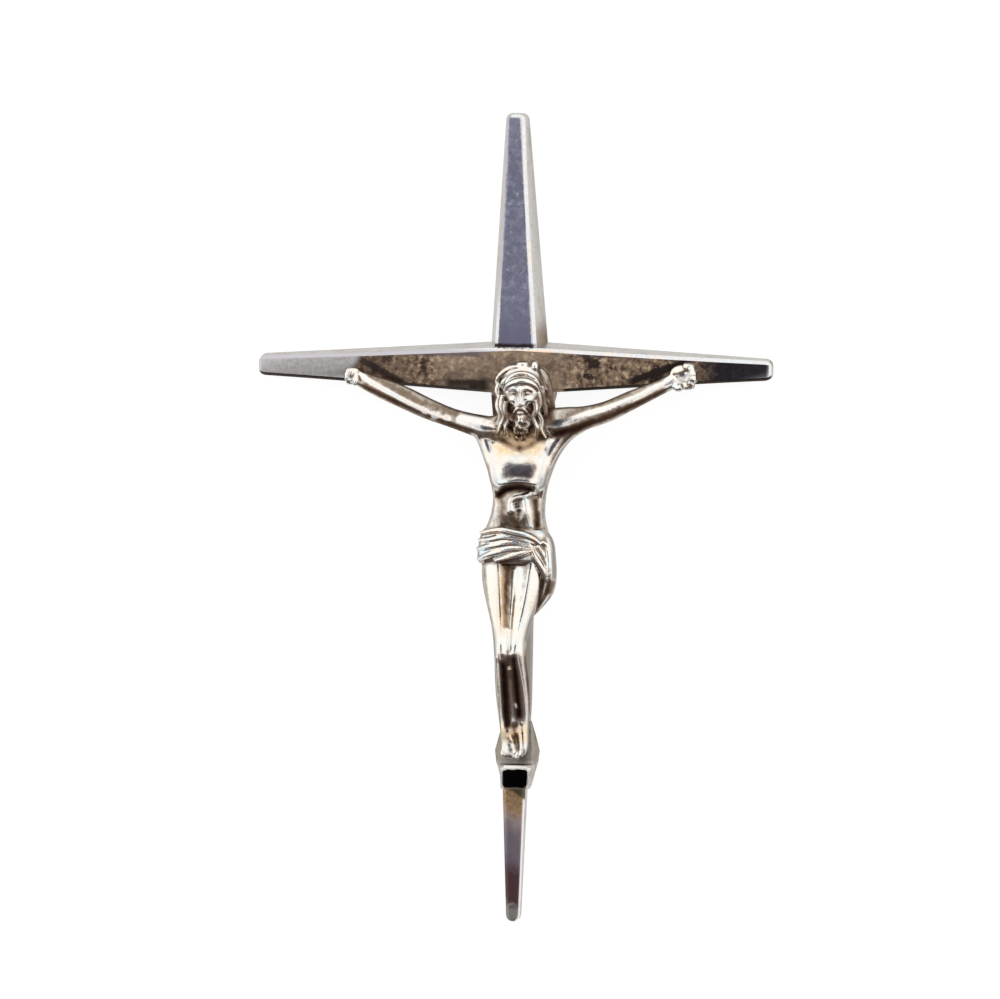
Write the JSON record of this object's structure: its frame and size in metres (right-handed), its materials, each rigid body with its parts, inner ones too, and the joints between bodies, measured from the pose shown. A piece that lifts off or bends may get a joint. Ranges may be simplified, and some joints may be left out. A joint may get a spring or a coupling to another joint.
{
  "type": "crucifix pendant",
  "caption": "Slim cast silver crucifix pendant: four tapering arms with sloped, bevelled fronts, a cast figure pinned by the palms, a foot rest and a hidden bail bar in its flat back.",
  "frame": {"origin": "middle of the crossing, on the flat back", "axes": "+Z out of the front, +Y along the upper arm, +X towards the right arm as seen from the front"},
  "size_m": [0.0342, 0.0538, 0.006],
  "materials": {
    "cross_silver": "tarnished cast silver with bright worn edges",
    "figure_silver": "polished cast silver with brown tarnish in its hollows",
    "dark_silver": "blackened silver"
  },
  "bodies": {
    "root": {"cross": "cross_silver", "foot_rest": "cross_silver", "corpus": "figure_silver", "palm_pin_left": "dark_silver", "palm_pin_right": "dark_silver", "bail_bar": "figure_silver"}
  },
  "joints": []
}
